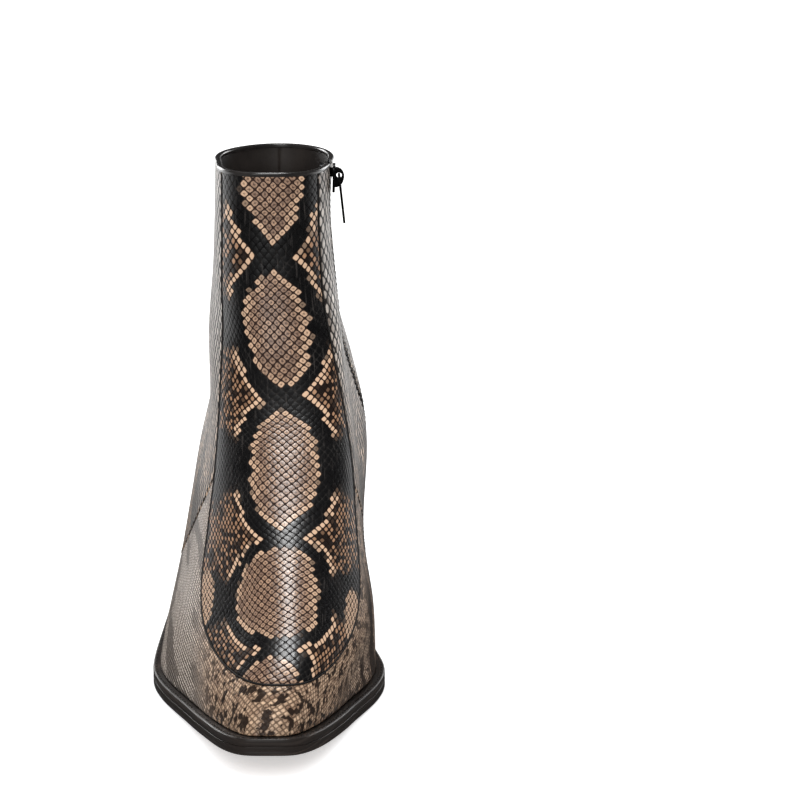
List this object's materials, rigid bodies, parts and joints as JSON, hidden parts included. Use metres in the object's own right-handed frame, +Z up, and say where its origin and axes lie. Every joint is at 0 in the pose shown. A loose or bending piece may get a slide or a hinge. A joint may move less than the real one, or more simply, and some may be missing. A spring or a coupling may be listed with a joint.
{
  "type": "cowboy boot",
  "caption": "Western style ankle boot in snake-print leather with snipped toe, stacked underslung heel, welted sole and inner side zip.",
  "frame": {"origin": "middle of the boot's box, on the floor it stands on", "axes": "+Z up, toe towards -Y, heel towards +Y, inner side with the zip towards +X (a right boot)"},
  "size_m": [0.0948, 0.274, 0.2016],
  "materials": {
    "python_leather": "glossy embossed snake-pattern leather, tan, brown and grey scales with black grooves",
    "black_leather": "semi-gloss black leather",
    "lining_leather": "matt dark brown-black lining leather",
    "stiffener": "resin-stiffened felt",
    "insole_board": "pressed fibre board",
    "zip_tape": "black woven tape",
    "zip_metal": "black coated metal",
    "black_metal": "glossy black enamel over metal",
    "outsole": "dark stained sole leather, satin",
    "sole_edge": "dark edge-inked leather, satin",
    "cork": "ground cork, matt",
    "foam": "soft latex foam",
    "steel": "plain spring steel",
    "heel_leather": "stacked leather, edge-inked dark, satin",
    "rubber": "matt black rubber"
  },
  "bodies": {
    "root": {"front_panel": "python_leather", "lateral_quarter": "python_leather", "medial_front_quarter": "python_leather", "medial_rear_quarter": "python_leather", "toe_wrap": "python_leather", "panel_piping": "black_leather", "topline_binding": "black_leather", "vamp_lining": "lining_leather", "lateral_lining": "lining_leather", "medial_front_lining": "lining_leather", "medial_rear_lining": "lining_leather", "toe_puff": "stiffener", "heel_counter": "stiffener", "insole_board": "insole_board", "sock_liner": "lining_leather", "heel_pad": "foam", "cork_filler": "cork", "steel_shank": "steel", "welt": "sole_edge", "heel_rand": "sole_edge", "outsole": "outsole", "heel_lift_1": "heel_leather", "heel_lift_2": "heel_leather", "heel_lift_3": "heel_leather", "heel_lift_4": "heel_leather", "heel_wedge": "heel_leather", "heel_top_piece": "rubber", "heel_nail_1": "steel", "heel_nail_2": "steel", "heel_nail_3": "steel", "heel_nail_4": "steel", "heel_screw": "steel", "zip_tape_front": "zip_tape", "zip_tape_rear": "zip_tape", "zip_teeth_front": "zip_metal", "zip_teeth_rear": "zip_metal", "zip_top_stop_front": "zip_metal", "zip_top_stop_rear": "zip_metal", "zip_bottom_stop": "zip_metal"},
    "zip_slider": {"zip_slider": "black_metal"},
    "zip_puller": {"zip_puller": "black_metal"}
  },
  "joints": [
    {"name": "zip_slider_run", "type": "hinge", "parent": "root", "child": "zip_slider", "pos_m": [0.33349, 0.06405, 0.1845], "axis": [0, -1, 0], "range_deg": [0, 17.4]},
    {"name": "zip_puller_swing", "type": "hinge", "parent": "zip_slider", "child": "zip_puller", "pos_m": [0.02785, 0.06405, 0.19459], "axis": [0, -1, 0], "range_deg": [-8, 150]}
  ]
}
